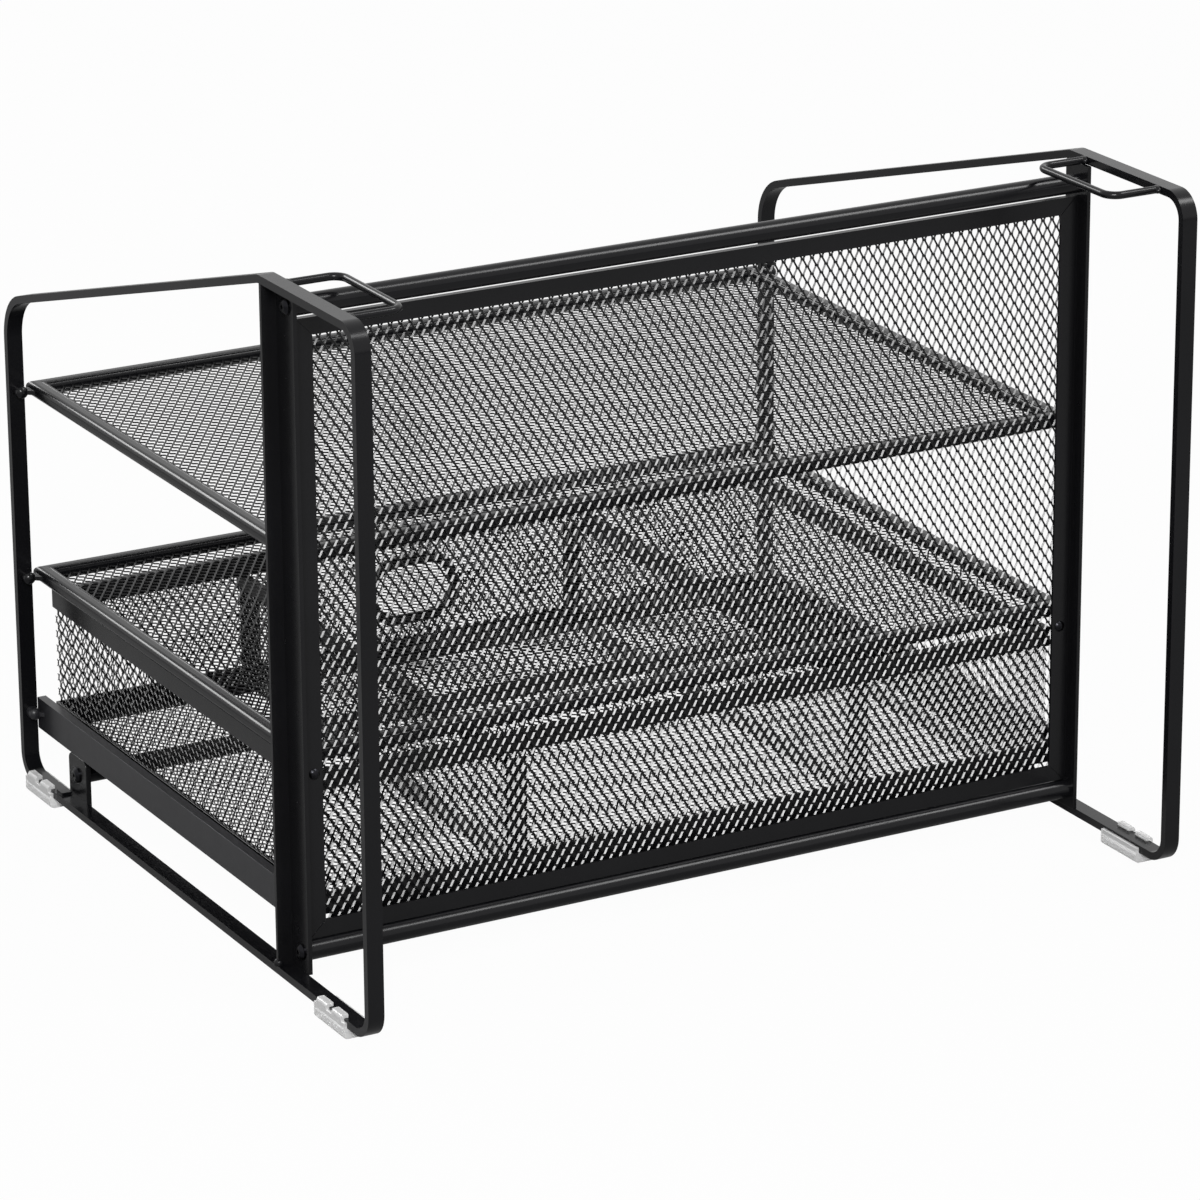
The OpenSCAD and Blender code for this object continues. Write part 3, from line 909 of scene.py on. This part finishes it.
@dataclass
class Drawer:
    """The sliding drawer: rim, base, sheets of expanded metal, dividers and finger ring.

    Lengths are in millimetres, and the tilt of the floor's strands is in degrees.
    """

    ring_half_w: float = 18.4
    ring_half_h: float = 12.4
    step_out: float = 0.75
    corner_reach: float = 2.4
    play: float = 0.2
    floor_tilt: float = 32.0
    radius: float = 0.3

    def build(self, kit: Kit) -> list[bpy.types.Object]:
        """Builds and dresses the drawer.

        Args:
            kit: the nodes and finishes.

        Returns:
            Every new piece.
        """
        made = []
        for node in ("drawer_rim", "drawer_base", "left_divider_frame", "right_divider_frame"):
            part = RoundedNode(node, Body.DRAWER, "sheet", "powder_coat_black", radius=self.radius)
            made.append(part.build(kit))
        kit.dress(kit.nodes["finger_ring"], "bar")
        for node, facing in (
            ("drawer_front_mesh", Facing.REAR),
            ("drawer_rear_mesh", Facing.REAR),
            ("drawer_left_mesh", Facing.SIDE),
            ("drawer_right_mesh", Facing.OTHER_SIDE),
            ("left_divider_mesh", Facing.SIDE),
            ("right_divider_mesh", Facing.OTHER_SIDE),
            ("drawer_floor_mesh", Facing.UP),
        ):
            made.append(self._sheet(node, facing).build(kit))
        return made

    def _sheet(self, node: str, facing: Facing) -> ExpandedSheet:
        """Lays out one sheet of the drawer.

        Args:
            node: the node that it replaces.
            facing: the way it faces.

        Returns:
            The sheet, not built yet.
        """
        middle, size = middle_and_size(node)
        width = size.y if facing in (Facing.SIDE, Facing.OTHER_SIDE) else size.x
        height = size.y if facing is Facing.UP else size.z
        if node in ("drawer_left_mesh", "drawer_right_mesh"):
            # the side walls stand almost flush with the rim's outer face and reach the corners
            middle.x += math.copysign(self.step_out, middle.x)
            width += self.corner_reach
        hole = None
        if node == "drawer_front_mesh":
            ring = middle_and_size("finger_ring")[0]
            hole = RingHole(self.ring_half_w, self.ring_half_h, ring.z - middle.z)
        strand = Strand(tilt=self.floor_tilt) if facing is Facing.UP else Strand()
        width -= self.play
        return ExpandedSheet(node, Body.DRAWER, width, height, tuple(middle), facing, hole, strand)


@dataclass(frozen=True)
class Lamp:
    """A soft rectangular lamp: its place, the point it faces and its size, all in metres, and its watts."""

    name: str
    at: Triple
    aim: Triple
    width: float
    height: float
    watts: float

    def build(self) -> None:
        """Adds the lamp to the scene."""
        lamp = bpy.data.lights.new(self.name, "AREA")
        lamp.shape, lamp.size, lamp.size_y, lamp.energy = "RECTANGLE", self.width, self.height, self.watts
        holder = bpy.data.objects.new(self.name, lamp)
        bpy.context.collection.objects.link(holder)
        holder.location = self.at
        holder.rotation_euler = (Vector(self.aim) - Vector(self.at)).to_track_quat("-Z", "Y").to_euler()


@dataclass
class Studio:
    """A pale floor, soft lamps and the camera at the photograph's angle.

    Places are in metres and turns in degrees, and the lens and its sensor in millimetres.
    """

    eye: Triple = (0.94598, 1.73507, 0.78332)
    turn: Triple = (70.6683, 0.3287, 151.1309)
    lens: float = 170.786
    sensor: float = 36.0
    near_and_far: tuple[float, float] = (0.05, 50.0)
    floor_size: float = 14.0
    floor_drop: float = 0.0004
    floor_grey: float = 0.4
    floor_glow: float = 0.97
    soft_world: float = 0.5
    lamps: tuple[Lamp, ...] = (
        Lamp("key", (1.08, 1.72, 1.32), (0.0, 0.08, 0.13), 0.8, 0.5, 46.0),
        Lamp("rear_right", (-1.1, 0.85, 1.95), (0.0, 0.08, 0.13), 0.9, 0.5, 17.0),
        Lamp("front", (0.75, -1.89, 1.21), (0.0, 0.0, 0.13), 0.8, 0.5, 14.0),
    )

    def build(self) -> None:
        """Builds floor, world, lamps and camera."""
        self._floor()
        self._world()
        for lamp in self.lamps:
            lamp.build()
        self._camera()

    def _camera(self) -> None:
        """Stands the camera where the photograph was taken from."""
        camera = bpy.data.cameras.new("photo_camera")
        camera.lens, camera.sensor_width = self.lens, self.sensor
        camera.clip_start, camera.clip_end = self.near_and_far
        holder = bpy.data.objects.new("photo_camera", camera)
        bpy.context.collection.objects.link(holder)
        holder.location = self.eye
        holder.rotation_euler = [math.radians(a) for a in self.turn]
        bpy.context.scene.camera = holder

    def _floor(self) -> None:
        """Lays a sweep that shows white to the camera and through the feet, but keeps the shadow."""
        bpy.ops.object.select_all(action="DESELECT")
        bpy.ops.mesh.primitive_plane_add(size=self.floor_size, location=(0, 0, -self.floor_drop))
        floor = bpy.context.active_object
        floor.name = "floor"
        made, tree = new_material("white_sweep")
        matt = add_node(tree, "ShaderNodeBsdfDiffuse", Color=(*[self.floor_grey] * 3, 1))
        glow = add_node(tree, "ShaderNodeEmission", Color=(1, 1, 1, 1), Strength=1.0)
        part = add_node(tree, "ShaderNodeMath", {"operation": "MULTIPLY"})
        tree.links.new(self._seen_by(tree, "Is Camera Ray", "Is Transmission Ray"), part.inputs[0])
        part.inputs[1].default_value = self.floor_glow
        both = self._mix(tree, part.outputs[0], matt.outputs[0], glow.outputs[0])
        add_node(tree, "ShaderNodeOutputMaterial", Surface=both)
        cover(floor, made)
        floor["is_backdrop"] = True

    def _world(self) -> None:
        """Makes a world, white to the camera, in reflections and through the feet, and softer as a light."""
        world = bpy.data.worlds.new("studio")
        bpy.context.scene.world = world
        world.use_nodes = True
        tree = world.node_tree
        tree.nodes.clear()
        soft = add_node(tree, "ShaderNodeBackground", Color=(1, 1, 1, 1), Strength=self.soft_world)
        white = add_node(tree, "ShaderNodeBackground", Color=(1, 1, 1, 1), Strength=1.0)
        seen = self._seen_by(tree, "Is Camera Ray", "Is Transmission Ray", "Is Glossy Ray")
        both = self._mix(tree, seen, soft.outputs[0], white.outputs[0])
        add_node(tree, "ShaderNodeOutputWorld", Surface=both)

    @staticmethod
    def _seen_by(tree: bpy.types.NodeTree, *rays: str) -> bpy.types.NodeSocket:
        """Tells whether a ray is of any of the kinds.

        Args:
            tree: the node tree.
            *rays: the light path's outputs.

        Returns:
            A value of 1 for those rays and 0 for the others.
        """
        path = add_node(tree, "ShaderNodeLightPath")
        seen = path.outputs[rays[0]]
        for ray in rays[1:]:
            either = add_node(tree, "ShaderNodeMath", {"operation": "MAXIMUM"})
            tree.links.new(seen, either.inputs[0])
            tree.links.new(path.outputs[ray], either.inputs[1])
            seen = either.outputs[0]
        return seen

    @staticmethod
    def _mix(
        tree: bpy.types.NodeTree,
        part: bpy.types.NodeSocket,
        first: bpy.types.NodeSocket,
        second: bpy.types.NodeSocket,
    ) -> bpy.types.NodeSocket:
        """Mixes two shaders.

        Args:
            tree: the node tree.
            part: the part of the second one.
            first: the first shader.
            second: the second shader.

        Returns:
            The mixed shader.
        """
        both = add_node(tree, "ShaderNodeMixShader")
        for socket, source in zip(both.inputs, (part, first, second)):
            tree.links.new(source, socket)
        return both.outputs[0]


def main(nodes: dict[str, bpy.types.Object], cad_box: tuple[Vector, Vector]) -> None:
    """Builds the sorter's looks and its studio.

    Args:
        nodes: the frame's CAD nodes by name.
        cad_box: the bounds straight after the frame was loaded; not used.
    """
    bpy.context.scene.view_settings.view_transform = "Standard"
    kit = Kit(nodes, Finishes())
    for assembly in (Frame(), Drawer()):
        for piece in assembly.build(kit):
            LOG.info("%s: %d faces", piece.name, len(piece.data.polygons))
    Studio().build()


if __name__ == "__main__":
    logging.basicConfig(level=logging.INFO, format="%(name)s %(message)s")
    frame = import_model()
    main(frame["nodes"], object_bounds())
